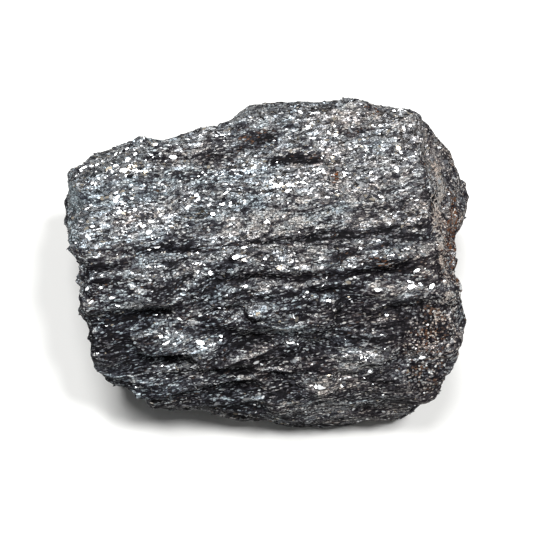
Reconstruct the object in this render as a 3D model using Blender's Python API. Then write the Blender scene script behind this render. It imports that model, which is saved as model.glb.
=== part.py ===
"""Micaceous hematite: one foliated hand specimen, a blocky broken piece lying on its flat side.

The stone is a single solid. Its body is the common space of a girdle, which is the outline of its
widest section, and of the broken faces that cut it. Lumps and hollows are added to that, and the
foliation then breaks the surface into ledges. Lengths are in millimetres until the mesh is made.
Axes: +X along the stone, +Y away from its long front, +Z up. The origin is under the middle.
"""

import math

import bmesh
import bpy
import numpy as np

MM = 0.001

# Driving dimensions
HEART_HEIGHT = 13.0  # height above the base of the point that every surface point is measured from
GIRDLE_LEAN = 60.0  # degrees; the girdle's plane faces this high above the horizon, towards -Y
GIRDLE_DEPTH = 24.0  # how far the girdle's wall reaches to each side of its plane
GIRDLE_ROUND = 4.0  # exponent that rounds the girdle's wall into its ends; higher is boxier
EDGE_WEAR = 26.0  # exponent that rounds the edges between broken faces; higher is sharper
GRID_CELLS = 28  # cells along each side of the cube that the grid starts from
GRID_STRETCH = (30.0, 22.0, 15.0)  # rough half sizes, which even the grid out over the stone

# The widest section's outline, anticlockwise, as (right, up its leaning plane)
GIRDLE = [
    (32.3, 14.0), (32.5, 19.0), (28.4, 23.0), (20.3, 23.8), (16.3, 24.6), (4.1, 24.8), (-0.4, 24.6),
    (-7.0, 20.3), (-15.1, 18.7), (-18.8, 19.5), (-24.4, 17.2), (-30.6, 15.2), (-30.1, 9.8),
    (-29.3, 3.1), (-26.1, 0.8), (-26.9, -3.5), (-25.4, -8.9), (-24.7, -12.6), (-23.1, -16.0),
    (-18.5, -16.8), (-15.9, -19.5), (-10.4, -20.6), (-2.3, -22.0), (9.0, -23.6), (19.2, -22.1),
    (21.8, -21.3), (25.4, -16.8), (27.5, -7.7), (28.3, -4.5), (26.6, -0.6), (27.7, 5.0),
]  # fmt: skip

# Broken faces: (degrees round from +X, degrees above the horizon, distance from the heart)
FACES = {
    "top": (-105.0, 84.0, 13.2),
    "shoulder": (-92.0, 60.0, 14.9),
    "front": (-89.0, 37.0, 16.0),
    "lower_front": (-91.0, 9.0, 19.9),
    "right_end": (2.0, 38.0, 26.9),
    "left_end": (184.0, 20.0, 30.0),
    "top_left": (150.0, 55.0, 25.6),
    "back": (88.0, 3.0, 23.2),
    "back_left": (122.0, 6.0, 29.6),
    "back_right": (50.0, 6.0, 31.5),
    "under_back": (90.0, -32.0, 21.5),
    "under_left": (188.0, -42.0, 25.0),
    "under_right": (-5.0, -38.0, 26.5),
    "under_front": (-90.0, -28.0, 24.5),
    "base": (0.0, -90.0, 13.6),
}

SIGHT_DISTANCE = 187.8  # lumps and hollows are laid out as seen from this far off, facing the girdle

# Lumps and hollows: (right, up, half length, half width, degrees its length is turned, height),
# measured at the heart's depth; a hollow's height is negative
RELIEF = {
    "slot": (4.3, 16.3, 3.7, 0.6, 3.0, -2.0),
    "top_band_left": (-14.6, 16.8, 3.6, 0.8, 3.0, -1.0),
    "top_band_middle": (-7.5, 17.3, 3.6, 0.8, 6.0, -1.1),
    "top_band_right": (-1.2, 19.0, 3.2, 0.9, 18.0, -0.9),
    "top_back_line": (13.0, 20.6, 3.0, 0.6, 5.0, -0.7),
    "top_oval": (-7.5, 11.2, 2.4, 1.3, 5.0, -0.6),
    "top_left_dark": (-21.9, 12.1, 2.6, 0.7, 5.0, -0.8),
    "top_left_rise": (-20.0, 14.6, 5.0, 1.8, 8.0, 0.6),
    "top_middle_flat": (3.1, 7.5, 6.5, 2.0, 4.0, -0.4),
    "top_right_bump": (16.0, 9.4, 2.6, 1.5, 10.0, 0.8),
    "corner_hollow": (22.8, 10.6, 1.8, 1.9, 70.0, -0.9),
    "left_crack": (-14.5, 2.7, 6.2, 0.8, 1.0, -1.3),
    "middle_crack": (-1.2, 3.6, 6.2, 0.8, 4.0, -1.2),
    "right_crack": (9.4, 4.6, 3.8, 1.2, 5.0, -1.4),
    "far_right_crack": (18.6, 5.3, 5.6, 1.2, 8.0, -1.2),
    "middle_knobs": (3.1, 1.3, 2.6, 1.4, -10.0, 1.0),
    "small_knob": (-3.7, 1.8, 1.6, 0.9, 0.0, 0.7),
    "grey_knob": (8.5, 1.6, 2.2, 1.2, 0.0, 0.8),
    "right_blocks": (19.0, 2.0, 4.4, 1.2, 8.0, 1.1),
    "left_patch": (-14.6, -1.0, 5.0, 1.4, 2.0, 0.9),
    "left_groove": (-23.7, 0.0, 3.4, 0.8, 8.0, -0.9),
    "middle_groove": (-3.2, -1.6, 6.2, 0.8, 3.0, -1.2),
    "right_groove": (7.6, -1.4, 3.6, 0.9, 3.0, -1.1),
    "right_overhang": (17.2, -0.7, 6.4, 1.0, 6.0, -1.6),
    "left_ledge": (-19.8, -4.2, 5.0, 1.4, 4.0, 1.4),
    "left_recess": (-20.6, -7.3, 5.6, 1.2, 5.0, -2.5),
    "left_recess_foot": (-23.6, -11.0, 3.0, 2.2, 0.0, -1.2),
    "right_ledge": (20.9, -3.0, 5.8, 1.1, 6.0, 1.3),
    "under_right_ledge": (22.4, -6.0, 4.6, 1.3, 8.0, -1.5),
    "middle_streak": (-0.4, -3.7, 1.8, 0.7, 0.0, 0.7),
    "middle_hollow": (8.5, -3.6, 3.6, 0.9, 3.0, -1.1),
    "middle_lumps": (0.7, -6.7, 4.2, 1.1, 0.0, 1.2),
    "middle_left_hollow": (-6.0, -6.6, 3.0, 1.1, 3.0, -1.2),
    "low_streak": (7.0, -8.4, 3.0, 0.7, 5.0, 0.3),
    "right_gully": (13.0, -7.0, 2.4, 1.9, 12.0, -1.1),
    "lower_hollow": (-3.0, -11.3, 4.6, 1.5, 4.0, -1.2),
    "lower_right_hollow": (7.9, -11.5, 3.0, 1.4, 12.0, -1.1),
    "tongue": (-14.9, -11.0, 4.9, 1.4, -2.0, 1.9),
    "tongue_tip": (-8.5, -12.2, 2.6, 1.4, 20.0, 1.2),
    "under_tongue": (-15.2, -13.5, 4.6, 0.8, -2.0, -1.9),
    "right_cluster": (14.6, -12.8, 3.6, 2.5, 20.0, 1.2),
    "foot_cluster": (7.9, -17.2, 2.8, 1.3, 8.0, 0.9),
    "foot_lump": (3.0, -20.0, 3.2, 1.3, 0.0, 0.9),
    "foot_left_lump": (-15.7, -17.5, 3.2, 1.0, 0.0, 0.6),
    "foot_gully": (-6.7, -17.9, 6.0, 1.1, -4.0, -1.0),
}

# Irregular lumps all over: (wavelengths along X, Y and Z, height)
LUMPS = [((26.0, 14.0, 9.0), 0.38), ((11.0, 6.0, 4.0), 0.18)]

# Foliation: the flakes lie along planes that dip gently backwards and break off as ledges
FOLIATION_FACING = (-0.16, 0.24, 0.95)
LEDGE_HEIGHT = 3.6  # from one ledge to the next, square to the foliation
LEDGE_START = 0.3  # height of one tread's middle over the heart, square to the foliation
LEDGE_SHARPNESS = 0.55  # 0 leaves a smooth slope, 1 gives flat ledges with square drops
LEDGE_WANDER = 0.8  # how far a ledge wanders off its plane
WANDER_LENGTHS = (60.0, 34.0, 80.0)  # along X, Y and Z, from one such bend to the next
RIPPLE = 0.3  # how far the ledges stand out of the ends and the back
FADE_LENGTHS = (26.0, 14.0, 12.0)  # along X, Y and Z, from one stretch of clear ledges to the next
GRANULAR = (23.5, -11.0, 6.5, 5.0, 80.0, 0.7)  # where the ledges fade, by the same six measures as RELIEF

STEEL_GREY = (0.13, 0.13, 0.14, 1.0)


def unit(azimuth, elevation):
    """The unit vector that points that many degrees round from +X and above the horizon."""
    a = math.radians(azimuth)
    e = math.radians(elevation)
    return np.array([math.cos(a) * math.cos(e), math.sin(a) * math.cos(e), math.sin(e)])


OUT = unit(-90.0, GIRDLE_LEAN)
RIGHT = np.array([1.0, 0.0, 0.0])
UP = np.cross(OUT, RIGHT)
FOLIATION = np.array(FOLIATION_FACING) / np.linalg.norm(FOLIATION_FACING)


def random_waves(points, lengths, seed):
    """Smooth random field of about unit height: the sum of 40 cosine waves in random directions."""
    random = np.random.default_rng(seed)
    waves = random.normal(size=(40, 3)) * 2 * math.pi / np.array(lengths)
    phases = random.uniform(0, 2 * math.pi, 40)
    return np.cos(points @ waves.T + phases).sum(axis=1) / math.sqrt(20)


def girdle_radius(angle):
    """Distance from the heart to the girdle's outline at that angle in its plane."""
    right, up = np.array(GIRDLE).T
    turn = np.arctan2(up, right)
    order = np.argsort(turn)
    return np.interp(angle, turn[order], np.hypot(right, up)[order], period=2 * math.pi)


def body_reach(rays):
    """How far the plain body reaches along each unit ray: a soft minimum over girdle and faces."""
    right = rays @ RIGHT
    up = rays @ UP
    across = np.hypot(right, up) / girdle_radius(np.arctan2(up, right))
    deep = np.abs(rays @ OUT) / GIRDLE_DEPTH
    wall = across**GIRDLE_ROUND + deep**GIRDLE_ROUND
    total = wall ** (EDGE_WEAR / GIRDLE_ROUND)
    for azimuth, elevation, distance in FACES.values():
        total += np.maximum(rays @ unit(azimuth, elevation) / distance, 0.0) ** EDGE_WEAR
    return total ** (-1 / EDGE_WEAR)


def bells(skin, marks):
    """Sum of bells on the side that faces OUT, each of them flat-topped along its length."""
    nearness = SIGHT_DISTANCE / (SIGHT_DISTANCE - skin @ OUT)
    right = skin @ RIGHT * nearness
    up = skin @ UP * nearness
    facing = np.clip(skin @ OUT / 4.0, 0.0, 1.0)
    total = np.zeros(len(skin))
    for at_right, at_up, half_length, half_width, turned, strength in marks:
        c = math.cos(math.radians(turned))
        s = math.sin(math.radians(turned))
        along = ((right - at_right) * c + (up - at_up) * s) / half_length
        across = ((up - at_up) * c - (right - at_right) * s) / half_width
        total += strength * np.exp(-(along**4) - across**2)
    return total * facing


def stone_skin(rays):
    """Points of the stone's surface, one along each unit ray from its heart."""
    skin = rays * body_reach(rays)[:, None]
    height = bells(skin, RELIEF.values())
    for seed, (lengths, rise) in enumerate(LUMPS, start=3):
        height += rise * random_waves(skin, lengths, seed)
    skin += rays * height[:, None]
    level = skin @ FOLIATION - LEDGE_START + LEDGE_WANDER * random_waves(skin, WANDER_LENGTHS, 7)
    turn = 2 * math.pi * level / LEDGE_HEIGHT
    clear = 0.65 + 0.45 * random_waves(skin, FADE_LENGTHS, 8) - bells(skin, [GRANULAR])
    clear = np.clip(clear, 0.1, 1.2)
    climb = clear * LEDGE_HEIGHT * LEDGE_SHARPNESS / (2 * math.pi) * np.sin(turn)
    steep = 1 - np.abs(rays @ FOLIATION)
    skin -= climb[:, None] * FOLIATION
    skin += rays * (RIPPLE * clear * steep * np.cos(turn))[:, None]
    return skin


def rest_on_base(skin):
    """Cuts the underside off flat: a point below the base slides along its ray up to it."""
    below = skin[:, 2] < -HEART_HEIGHT
    skin[below] *= (-HEART_HEIGHT / skin[below, 2])[:, None]
    skin[:, 2] += HEART_HEIGHT
    skin[below, 2] = 0.0
    return skin


def cube_grid(name):
    """A cube cut into square cells: a closed grid that has no poles."""
    mesh = bpy.data.meshes.new(name)
    grid = bmesh.new()
    bmesh.ops.create_cube(grid, size=2.0)
    bmesh.ops.subdivide_edges(grid, edges=grid.edges[:], cuts=GRID_CELLS - 1, use_grid_fill=True)
    grid.to_mesh(mesh)
    grid.free()
    return mesh


def rays_of(mesh):
    """Unit rays through the cube grid's corners, spread evenly in angle and then stretched."""
    corners = np.empty(len(mesh.vertices) * 3)
    mesh.vertices.foreach_get("co", corners)
    cube = np.tan(corners.reshape(-1, 3) * math.pi / 4)
    ball = cube / np.linalg.norm(cube, axis=1)[:, None]
    rays = ball * GRID_STRETCH
    return rays / np.linalg.norm(rays, axis=1)[:, None]


def make_stone(collection):
    mesh = cube_grid("hematite_stone")
    skin = rest_on_base(stone_skin(rays_of(mesh)))
    skin[:, :2] -= (skin.min(axis=0) + skin.max(axis=0))[:2] / 2
    mesh.vertices.foreach_set("co", (skin * MM).ravel())
    mesh.update()
    material = bpy.data.materials.new("micaceous_hematite")
    material.use_nodes = True
    surface = material.node_tree.nodes["Principled BSDF"]
    surface.inputs["Base Color"].default_value = STEEL_GREY
    surface.inputs["Metallic"].default_value = 0.3
    surface.inputs["Roughness"].default_value = 0.5
    mesh.materials.append(material)
    collection.objects.link(bpy.data.objects.new("hematite_stone", mesh))


for leftover in list(bpy.data.objects):
    bpy.data.objects.remove(leftover)

specimen = bpy.data.collections.new("micaceous_hematite_specimen")
bpy.context.scene.collection.children.link(specimen)
make_stone(specimen)
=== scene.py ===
# %% [markdown]
# # A specimen of micaceous hematite
# The object is one broken piece of rock, about 62 mm long. It is made of countless thin plates of
# hematite that lie nearly parallel, so it breaks in ledges, and each plate that faces the light
# flashes like a small mirror. Between the plates lies a dull, dusty matrix with rusty spots and a
# few pale grains. The solid from the CAD step gives the size and the main forms. This lesson makes
# the skin of the rock again with a finer grid, adds the plates as real geometry, and lights it.
# Lengths are in millimetres, and MM turns them to metres where Blender takes them.

import math

import bpy
import numpy as np
from mathutils import Matrix, Vector


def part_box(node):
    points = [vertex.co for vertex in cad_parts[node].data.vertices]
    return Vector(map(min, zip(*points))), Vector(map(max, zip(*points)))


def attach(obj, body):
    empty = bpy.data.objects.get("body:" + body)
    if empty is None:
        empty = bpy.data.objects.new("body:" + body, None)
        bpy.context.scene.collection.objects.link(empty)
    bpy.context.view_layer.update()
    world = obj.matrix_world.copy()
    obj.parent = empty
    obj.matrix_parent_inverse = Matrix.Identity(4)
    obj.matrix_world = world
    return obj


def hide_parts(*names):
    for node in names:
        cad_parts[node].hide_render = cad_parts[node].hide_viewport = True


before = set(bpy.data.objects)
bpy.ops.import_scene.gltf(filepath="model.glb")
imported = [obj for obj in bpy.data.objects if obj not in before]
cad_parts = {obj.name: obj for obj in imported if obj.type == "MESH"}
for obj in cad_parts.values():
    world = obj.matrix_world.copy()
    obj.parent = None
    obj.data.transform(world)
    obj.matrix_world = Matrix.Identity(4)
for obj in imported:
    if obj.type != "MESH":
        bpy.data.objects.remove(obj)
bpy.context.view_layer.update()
MM = 0.001
low, high = (np.array(corner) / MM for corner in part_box("hematite_stone"))
print("CAD box in mm:", low.round(2), high.round(2))

# %% [markdown]
# ## The camera
# A portrait lens from a little way off keeps the stone's shape true. It looks down steeply, 60
# degrees above the floor, so that the flat top and the long broken front show about equally. Its
# distance could be found by trial, but like triangles give it: the width seen * lens / sensor.

# %% Camera
CAMERA_LEAN = 60.0  # degrees above the floor
LENS = 85.0
SENSOR = 36.0
FRAME_WIDTH = 79.56  # mm that the view takes in from left to right, at the aim
CAMERA_DISTANCE = FRAME_WIDTH * LENS / SENSOR
NEAREST_SEEN = 10.0  # mm from the lens
AIM = np.array([-0.18, -0.33, 12.81])  # mm


def facing(azimuth, elevation):
    """Unit vector: (cos a cos e, sin a cos e, sin e), with a from +X and e above the floor."""
    a = math.radians(azimuth)
    e = math.radians(elevation)
    return np.array([math.cos(a) * math.cos(e), math.sin(a) * math.cos(e), math.sin(e)])


def look_at(obj, place, target):
    """Links obj at place, in mm, with its -Z axis towards target and its +Y axis upright."""
    obj.location = Vector(place * MM)
    obj.rotation_mode = "QUATERNION"
    obj.rotation_quaternion = Vector(place - target).to_track_quat("Z", "Y")
    bpy.context.scene.collection.objects.link(obj)


OUT = facing(-90.0, CAMERA_LEAN)
camera = bpy.data.objects.new("camera", bpy.data.cameras.new("camera"))
camera.data.lens = LENS
camera.data.sensor_width = SENSOR
camera.data.clip_start = NEAREST_SEEN * MM
look_at(camera, AIM + OUT * CAMERA_DISTANCE, AIM)
bpy.context.scene.camera = camera
print("camera distance in mm:", round(CAMERA_DISTANCE, 1))

# %% [markdown]
# ## The stone's body as a function of two parameters
# A stone has no profile to spin and no section to sweep. What it does have is a point inside from
# which all of its surface can be seen. So the surface is a distance along each direction: a cube
# is cut into six square grids, every grid point (u, v) gives one direction, and one formula gives
# the distance. The same values shaped the CAD solid, which makes the two agree. Compared with a
# globe of latitude and longitude, the cube has no poles where cells bunch up.

# %% Directions from the heart of the stone
GRID_CELLS = 128  # along each edge of the cube
GRID_STRETCH = np.array([30.0, 22.0, 15.0])  # about the stone's half sizes in mm, for even cells
CUBE_SIDES = [
    ((1, 0, 0), (0, 1, 0), (0, 0, 1)),
    ((-1, 0, 0), (0, 0, 1), (0, 1, 0)),
    ((0, 1, 0), (0, 0, 1), (1, 0, 0)),
    ((0, -1, 0), (1, 0, 0), (0, 0, 1)),
    ((0, 0, 1), (1, 0, 0), (0, 1, 0)),
    ((0, 0, -1), (0, 1, 0), (1, 0, 0)),
]


def cube_grid(cells):
    """Corners of six square grids, one on each side of a cube, and their squares.

    A corner is middle + u * along_u + v * along_v. Corners that two sides share are merged, so
    the grid is closed.
    """
    line = np.linspace(-1.0, 1.0, cells + 1)
    v, u = np.meshgrid(line, line)
    index = np.arange((cells + 1) ** 2).reshape(cells + 1, cells + 1)
    square = np.stack([index[:-1, :-1], index[1:, :-1], index[1:, 1:], index[:-1, 1:]], axis=-1)
    sides = [
        middle + u[..., None] * along_u + v[..., None] * along_v
        for middle, along_u, along_v in np.array(CUBE_SIDES, dtype=float)
    ]
    points = np.concatenate([side.reshape(-1, 3) for side in sides])
    faces = np.concatenate([square.reshape(-1, 4) + k * index.size for k in range(len(sides))])
    key = np.round(points * cells).astype(int)
    _, first, merged = np.unique(key, axis=0, return_index=True, return_inverse=True)
    return points[first], merged.reshape(-1)[faces]


def rays_through(corners):
    """Unit rays through tan(corner * pi / 4), which evens the angles, stretched as the stone is."""
    ball = np.tan(corners * math.pi / 4)
    ball /= np.linalg.norm(ball, axis=1)[:, None]
    ball *= GRID_STRETCH
    return ball / np.linalg.norm(ball, axis=1)[:, None]


cube_corners, squares = cube_grid(GRID_CELLS)
rays = rays_through(cube_corners)
print("grid:", len(rays), "points,", len(squares), "squares")

# %% [markdown]
# The body is the space that a girdle and some broken faces have in common. The girdle is the
# outline of the widest section, a wall that closes in at both ends. A plain minimum of the
# distances to all of them would give knife edges, and a stone's edges are worn. Summing high
# powers is a soft minimum: the higher the power, the sharper the edges.

# %% Body
HEART_HEIGHT = 13.0  # mm from the resting face up to the point that the rays leave from
GIRDLE_DEPTH = 24.0  # mm from the widest section to where the wall has closed in
GIRDLE_ROUND = 4.0  # power of the wall's own curve
EDGE_WEAR = 26.0  # power of the soft minimum
GIRDLE = [  # mm to the right and up from the heart, in the plane square to OUT
    (32.3, 14.0), (32.5, 19.0), (28.4, 23.0), (20.3, 23.8), (16.3, 24.6), (4.1, 24.8), (-0.4, 24.6),
    (-7.0, 20.3), (-15.1, 18.7), (-18.8, 19.5), (-24.4, 17.2), (-30.6, 15.2), (-30.1, 9.8),
    (-29.3, 3.1), (-26.1, 0.8), (-26.9, -3.5), (-25.4, -8.9), (-24.7, -12.6), (-23.1, -16.0),
    (-18.5, -16.8), (-15.9, -19.5), (-10.4, -20.6), (-2.3, -22.0), (9.0, -23.6), (19.2, -22.1),
    (21.8, -21.3), (25.4, -16.8), (27.5, -7.7), (28.3, -4.5), (26.6, -0.6), (27.7, 5.0),
]
FACES = {  # azimuth and elevation in degrees of the way it faces, mm from the heart
    "top": (-105.0, 84.0, 13.2),
    "shoulder": (-92.0, 60.0, 14.9),
    "front": (-89.0, 37.0, 16.0),
    "lower_front": (-91.0, 9.0, 19.9),
    "right_end": (2.0, 38.0, 26.9),
    "left_end": (184.0, 20.0, 30.0),
    "top_left": (150.0, 55.0, 25.6),
    "back": (88.0, 3.0, 23.2),
    "back_left": (122.0, 6.0, 29.6),
    "back_right": (50.0, 6.0, 31.5),
    "under_back": (90.0, -32.0, 21.5),
    "under_left": (188.0, -42.0, 25.0),
    "under_right": (-5.0, -38.0, 26.5),
    "under_front": (-90.0, -28.0, 24.5),
    "base": (0.0, -90.0, 13.6),
}
RIGHT = np.array([1.0, 0.0, 0.0])
UP = np.cross(OUT, RIGHT)


def girdle_radius(angle):
    """The outline's radius at that angle, in straight runs between its corners."""
    right, up = np.array(GIRDLE).T
    turn = np.arctan2(up, right)
    order = np.argsort(turn)
    return np.interp(angle, turn[order], np.hypot(right, up)[order], period=2 * math.pi)


def body_reach(rays):
    """Soft minimum over all walls: (sum of (1 / distance to the wall along the ray)^p)^(-1/p)."""
    right = rays @ RIGHT
    up = rays @ UP
    across = np.hypot(right, up) / girdle_radius(np.arctan2(up, right))
    deep = np.abs(rays @ OUT) / GIRDLE_DEPTH
    wall = across**GIRDLE_ROUND + deep**GIRDLE_ROUND
    total = wall ** (EDGE_WEAR / GIRDLE_ROUND)
    for azimuth, elevation, distance in FACES.values():
        total += np.maximum(rays @ facing(azimuth, elevation) / distance, 0.0) ** EDGE_WEAR
    return total ** (-1 / EDGE_WEAR)


body = rays * body_reach(rays)[:, None]
print("plain body in mm:", (body.max(axis=0) - body.min(axis=0)).round(1))

# %% [markdown]
# ## Named lumps and hollows
# Some forms are this stone's own: a slot in the top, a deep recess under a ledge on the left, a
# tongue-shaped chip below it. They could be sculpted by hand, but then the solid and this finer
# skin would not agree. So each is an oval bell, placed as it is seen along the girdle's facing
# direction: how far right, how far up, how long and how wide, how much turned, and how high.

# %% The named forms
RELIEF = {  # right, up, half length and half width in mm, degrees turned, mm high
    "slot": (4.3, 16.3, 3.7, 0.6, 3.0, -2.0),
    "top_band_left": (-14.6, 16.8, 3.6, 0.8, 3.0, -1.0),
    "top_band_middle": (-7.5, 17.3, 3.6, 0.8, 6.0, -1.1),
    "top_band_right": (-1.2, 19.0, 3.2, 0.9, 18.0, -0.9),
    "top_back_line": (13.0, 20.6, 3.0, 0.6, 5.0, -0.7),
    "top_oval": (-7.5, 11.2, 2.4, 1.3, 5.0, -0.6),
    "top_left_dark": (-21.9, 12.1, 2.6, 0.7, 5.0, -0.8),
    "top_left_rise": (-20.0, 14.6, 5.0, 1.8, 8.0, 0.6),
    "top_middle_flat": (3.1, 7.5, 6.5, 2.0, 4.0, -0.4),
    "top_right_bump": (16.0, 9.4, 2.6, 1.5, 10.0, 0.8),
    "corner_hollow": (22.8, 10.6, 1.8, 1.9, 70.0, -0.9),
    "left_crack": (-14.5, 2.7, 6.2, 0.8, 1.0, -1.3),
    "middle_crack": (-1.2, 3.6, 6.2, 0.8, 4.0, -1.2),
    "right_crack": (9.4, 4.6, 3.8, 1.2, 5.0, -1.4),
    "far_right_crack": (18.6, 5.3, 5.6, 1.2, 8.0, -1.2),
    "middle_knobs": (3.1, 1.3, 2.6, 1.4, -10.0, 1.0),
    "small_knob": (-3.7, 1.8, 1.6, 0.9, 0.0, 0.7),
    "grey_knob": (8.5, 1.6, 2.2, 1.2, 0.0, 0.8),
    "right_blocks": (19.0, 2.0, 4.4, 1.2, 8.0, 1.1),
    "left_patch": (-14.6, -1.0, 5.0, 1.4, 2.0, 0.9),
    "left_groove": (-23.7, 0.0, 3.4, 0.8, 8.0, -0.9),
    "middle_groove": (-3.2, -1.6, 6.2, 0.8, 3.0, -1.2),
    "right_groove": (7.6, -1.4, 3.6, 0.9, 3.0, -1.1),
    "right_overhang": (17.2, -0.7, 6.4, 1.0, 6.0, -1.6),
    "left_ledge": (-19.8, -4.2, 5.0, 1.4, 4.0, 1.4),
    "left_recess": (-20.6, -7.3, 5.6, 1.2, 5.0, -2.5),
    "left_recess_foot": (-23.6, -11.0, 3.0, 2.2, 0.0, -1.2),
    "right_ledge": (20.9, -3.0, 5.8, 1.1, 6.0, 1.3),
    "under_right_ledge": (22.4, -6.0, 4.6, 1.3, 8.0, -1.5),
    "middle_streak": (-0.4, -3.7, 1.8, 0.7, 0.0, 0.7),
    "middle_hollow": (8.5, -3.6, 3.6, 0.9, 3.0, -1.1),
    "middle_lumps": (0.7, -6.7, 4.2, 1.1, 0.0, 1.2),
    "middle_left_hollow": (-6.0, -6.6, 3.0, 1.1, 3.0, -1.2),
    "low_streak": (7.0, -8.4, 3.0, 0.7, 5.0, 0.3),
    "right_gully": (13.0, -7.0, 2.4, 1.9, 12.0, -1.1),
    "lower_hollow": (-3.0, -11.3, 4.6, 1.5, 4.0, -1.2),
    "lower_right_hollow": (7.9, -11.5, 3.0, 1.4, 12.0, -1.1),
    "tongue": (-14.9, -11.0, 4.9, 1.4, -2.0, 1.9),
    "tongue_tip": (-8.5, -12.2, 2.6, 1.4, 20.0, 1.2),
    "under_tongue": (-15.2, -13.5, 4.6, 0.8, -2.0, -1.9),
    "right_cluster": (14.6, -12.8, 3.6, 2.5, 20.0, 1.2),
    "foot_cluster": (7.9, -17.2, 2.8, 1.3, 8.0, 0.9),
    "foot_lump": (3.0, -20.0, 3.2, 1.3, 0.0, 0.9),
    "foot_left_lump": (-15.7, -17.5, 3.2, 1.0, 0.0, 0.6),
    "foot_gully": (-6.7, -17.9, 6.0, 1.1, -4.0, -1.0),
}
print(len(RELIEF), "lumps and hollows")

# %% [markdown]
# One function turns such a list into heights. Another makes the nameless lumps: cosine waves in
# random directions, summed. A noise texture would do for the skin alone, but these give the CAD
# script and this one the same heights.

# %% Bells and waves
SIGHT_DISTANCE = 187.8  # mm from the heart to the eye, as for the CAD solid
MARK_FADE = 4.0  # mm in front of the widest section, over which marks fade in
WAVE_COUNT = 40
LUMPS = [((26.0, 14.0, 9.0), 0.38), ((11.0, 6.0, 4.0), 0.18)]  # lengths and rise in mm


def seen_from_eye(points):
    """Right and up of each point, times the heart's distance from the eye / the point's own."""
    nearness = SIGHT_DISTANCE / (SIGHT_DISTANCE - points @ OUT)
    return points @ RIGHT * nearness, points @ UP * nearness


def bells(points, marks):
    """Sum of strength * exp(-(along/length)^4 - (across/width)^2) over the marks, seen side only."""
    right, up = seen_from_eye(points)
    total = np.zeros(len(points))
    for at_right, at_up, half_length, half_width, turned, strength in marks:
        c = math.cos(math.radians(turned))
        s = math.sin(math.radians(turned))
        along = ((right - at_right) * c + (up - at_up) * s) / half_length
        across = ((up - at_up) * c - (right - at_right) * s) / half_width
        total += strength * np.exp(-(along**4) - across**2)
    return total * np.clip(points @ OUT / MARK_FADE, 0.0, 1.0)


def random_waves(points, lengths, seed):
    """Random field of about unit height: cosines of dot(wave, point) + phase, summed."""
    random = np.random.default_rng(seed)
    waves = random.normal(size=(WAVE_COUNT, 3)) * 2 * math.pi / np.array(lengths)
    phases = random.uniform(0, 2 * math.pi, WAVE_COUNT)
    return np.cos(points @ waves.T + phases).sum(axis=1) / math.sqrt(WAVE_COUNT / 2)


height = bells(body, RELIEF.values())
for seed, (lengths, rise) in enumerate(LUMPS, start=3):
    height += rise * random_waves(body, lengths, seed)
skin = body + rays * height[:, None]
print("relief in mm:", height.min().round(2), "to", height.max().round(2))

# %% [markdown]
# ## Foliation
# The plates of hematite lie in planes that dip gently to the back. Where the stone broke across
# them it made stairs. Moving points along the normal makes bumps and no stairs. So each point slides
# square to the planes, towards its own step: level - a * sin(2 pi level / h), where level is how
# far it lies that way. That keeps the order of the points, so the surface never folds. The levels
# wander, as real layers do, and the ledges come and go. They are faint at the lower right end,
# where the rock is granular.

# %% Large ledges, the same as in the CAD solid
FOLIATION = np.array([-0.16, 0.24, 0.95])
FOLIATION /= np.linalg.norm(FOLIATION)
LEDGE_HEIGHT = 3.6  # mm, as all of these but the sharpness and the clearness
LEDGE_START = 0.3
LEDGE_SHARPNESS = 0.55  # from 0, a smooth slope, to 1, square stairs
LEDGE_WANDER = 0.8
WANDER_LENGTHS = (60.0, 34.0, 80.0)
RIPPLE = 0.3
CLEARNESS = 0.65  # how clearly the ledges show on average,
CLEARNESS_SWING = 0.45  # how much that changes from place to place,
CLEARNESS_RANGE = (0.1, 1.2)  # and its least and most
FADE_LENGTHS = (26.0, 14.0, 12.0)
GRANULAR = (23.5, -11.0, 6.5, 5.0, 80.0, 0.7)  # a bell, like those of the lumps


def break_in_ledges(skin, level, step, sharpness, ripple):
    """Slides points by -step * sharpness / (2 pi) * sin(turn) along the foliation.

    turn = 2 pi level / step. On steep faces the ledges also stand out by ripple * cos(turn).
    """
    turn = 2 * math.pi * level / step
    steep = 1 - np.abs(rays @ FOLIATION)
    slide = -step * sharpness / (2 * math.pi) * np.sin(turn)
    return skin + slide[:, None] * FOLIATION + rays * (ripple * steep * np.cos(turn))[:, None]


level = skin @ FOLIATION - LEDGE_START + LEDGE_WANDER * random_waves(skin, WANDER_LENGTHS, seed=7)
clear = CLEARNESS + CLEARNESS_SWING * random_waves(skin, FADE_LENGTHS, seed=8)
clear = np.clip(clear - bells(skin, [GRANULAR]), *CLEARNESS_RANGE)
skin = break_in_ledges(skin, level, LEDGE_HEIGHT, LEDGE_SHARPNESS * clear, RIPPLE * clear)
print("with ledges in mm:", (skin.max(axis=0) - skin.min(axis=0)).round(1))

# %% [markdown]
# Each large ledge is itself a packet of thinner ones, down to single plates. Two finer series do
# that. They are patchy too, and fade to a third at the rim, so that the outline stays the solid's.

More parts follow.
